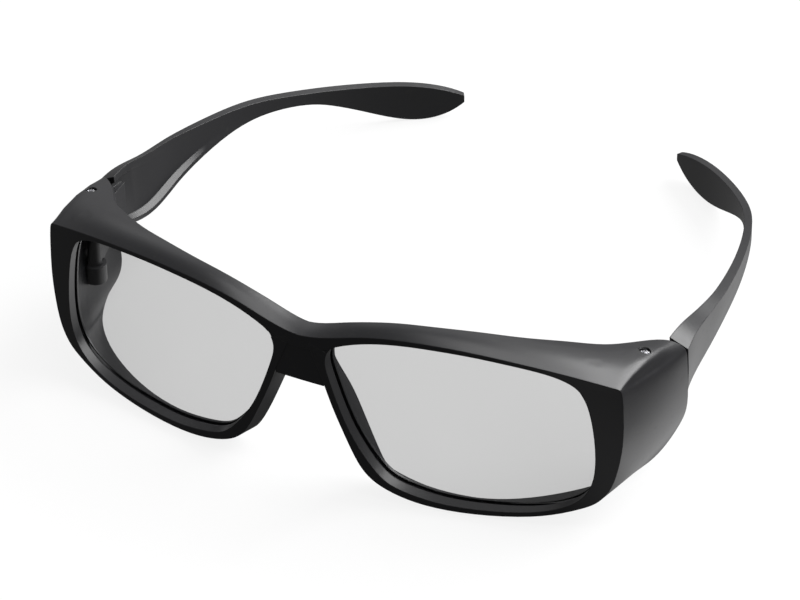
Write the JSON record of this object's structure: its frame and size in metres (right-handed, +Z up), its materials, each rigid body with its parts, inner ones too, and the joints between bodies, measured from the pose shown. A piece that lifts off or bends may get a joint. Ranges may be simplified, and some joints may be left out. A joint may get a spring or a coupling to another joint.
{
  "type": "3d_glasses",
  "caption": "Fit-over 3D viewing glasses with dark gloss wrap frame, side shields, grey polarised lenses and folding temples on hinge screws.",
  "frame": {"origin": "centre of the bounding box in plan, on the plane the open glasses rest on", "axes": "+Z up, front of the glasses towards -Y, mirror plane at x = 0, temples towards +Y"},
  "size_m": [0.1618, 0.158, 0.0515],
  "materials": {
    "frame_plastic": "satin gloss moulded plastic",
    "temple_plastic": "satin gloss moulded plastic",
    "retarder_film": "clear film",
    "polarising_film": "neutral grey film",
    "lens_backing": "clear polished sheet",
    "screw_steel": "plated"
  },
  "bodies": {
    "front": {"front_frame": "frame_plastic", "right_retarder_film": "retarder_film", "left_retarder_film": "retarder_film", "right_polarising_film": "polarising_film", "left_polarising_film": "polarising_film", "right_lens_backing": "lens_backing", "left_lens_backing": "lens_backing", "right_hinge_screw": "screw_steel", "left_hinge_screw": "screw_steel"},
    "right_arm": {"right_temple": "temple_plastic"},
    "left_arm": {"left_temple": "temple_plastic"}
  },
  "joints": [
    {"name": "right_fold", "type": "hinge", "parent": "front", "child": "right_arm", "pos_m": [0.0754, -0.0454, 0.0263], "axis": [0, 0, 1], "range_deg": [0, 78]},
    {"name": "left_fold", "type": "hinge", "parent": "front", "child": "left_arm", "pos_m": [-0.0754, -0.0454, 0.0263], "axis": [0, 0, -1], "range_deg": [0, 66]}
  ]
}
